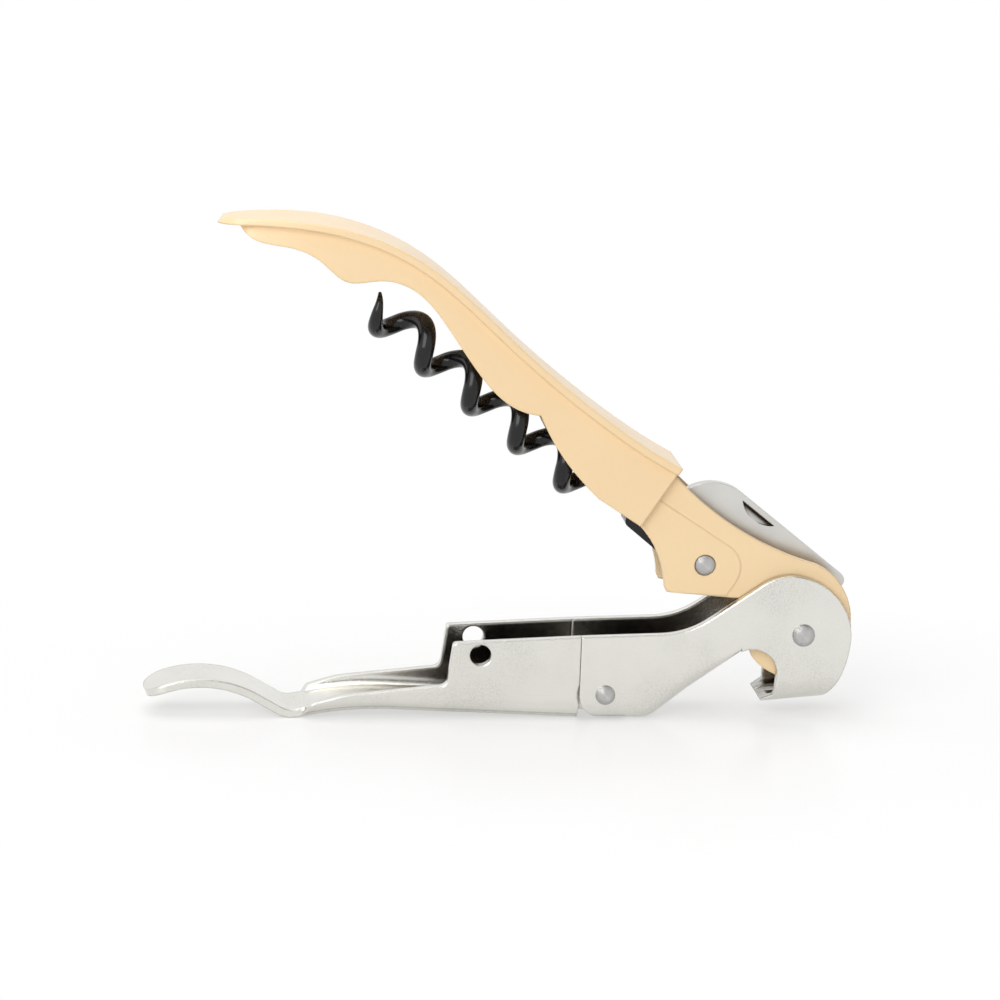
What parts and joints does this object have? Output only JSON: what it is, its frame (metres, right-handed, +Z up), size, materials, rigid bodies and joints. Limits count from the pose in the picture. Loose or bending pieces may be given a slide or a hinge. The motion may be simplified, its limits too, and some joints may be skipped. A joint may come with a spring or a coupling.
{
  "type": "lever corkscrew",
  "caption": "Folding lever corkscrew: a jointed two-stage lever with a cap hook, a slim painted handle, a coated worm and a folding foil knife.",
  "frame": {"origin": "on the table, in the middle of the flat sole under the upper link of the lever", "axes": "+Z up from the table, +X from the thumb tongue to the head, +Y away from the viewer"},
  "size_m": [0.1121, 0.0136, 0.0792],
  "materials": {
    "cream_paint": "smooth gloss paint",
    "black_coat": "glossy black non-stick coat",
    "rivet_steel": "turned steel",
    "knife_steel": "satin ground steel",
    "bright_nickel": "bright nickel plate"
  },
  "bodies": {
    "lever": {"lever_upper_link": "bright_nickel", "link_rivet": "rivet_steel"},
    "lower_link": {"lever_lower_link": "bright_nickel"},
    "head_rivet": {"head_rivet": "rivet_steel"},
    "handle": {"handle_frame": "cream_paint", "grip_shell": "cream_paint", "worm_rivet": "rivet_steel", "worm_spacer_front": "rivet_steel", "worm_spacer_rear": "rivet_steel", "knife_spacer_front": "rivet_steel", "knife_spacer_rear": "rivet_steel"},
    "worm": {"worm": "black_coat", "worm_hub": "black_coat"},
    "knife": {"knife": "knife_steel"}
  },
  "joints": [
    {"name": "handle_close", "type": "hinge", "parent": "lever", "child": "head_rivet", "pos_m": [0.026, 0, 0.0142], "axis": [0, 1, 0], "range_deg": [-28.85, 0]},
    {"name": "handle_raise", "type": "hinge", "parent": "head_rivet", "child": "handle", "pos_m": [0.026, 0, 0.0142], "axis": [0, 1, 0], "range_deg": [-4, 86]},
    {"name": "worm_swing", "type": "hinge", "parent": "handle", "child": "worm", "pos_m": [0.00989, 0, 0.0252], "axis": [0, 1, 0], "range_deg": [-96.32, 4.48]},
    {"name": "knife_open", "type": "hinge", "parent": "handle", "child": "knife", "pos_m": [0.026, 0, 0.0142], "axis": [0, 1, 0], "range_deg": [0, 140]},
    {"name": "link_fold", "type": "hinge", "parent": "lever", "child": "lower_link", "pos_m": [-0.0054, 0, 0.0043], "axis": [0, 1, 0], "range_deg": [-60, 0]}
  ],
  "couplings": [
    {"joint": "worm_swing", "follows": "handle_raise", "ratio": -1.12}
  ]
}
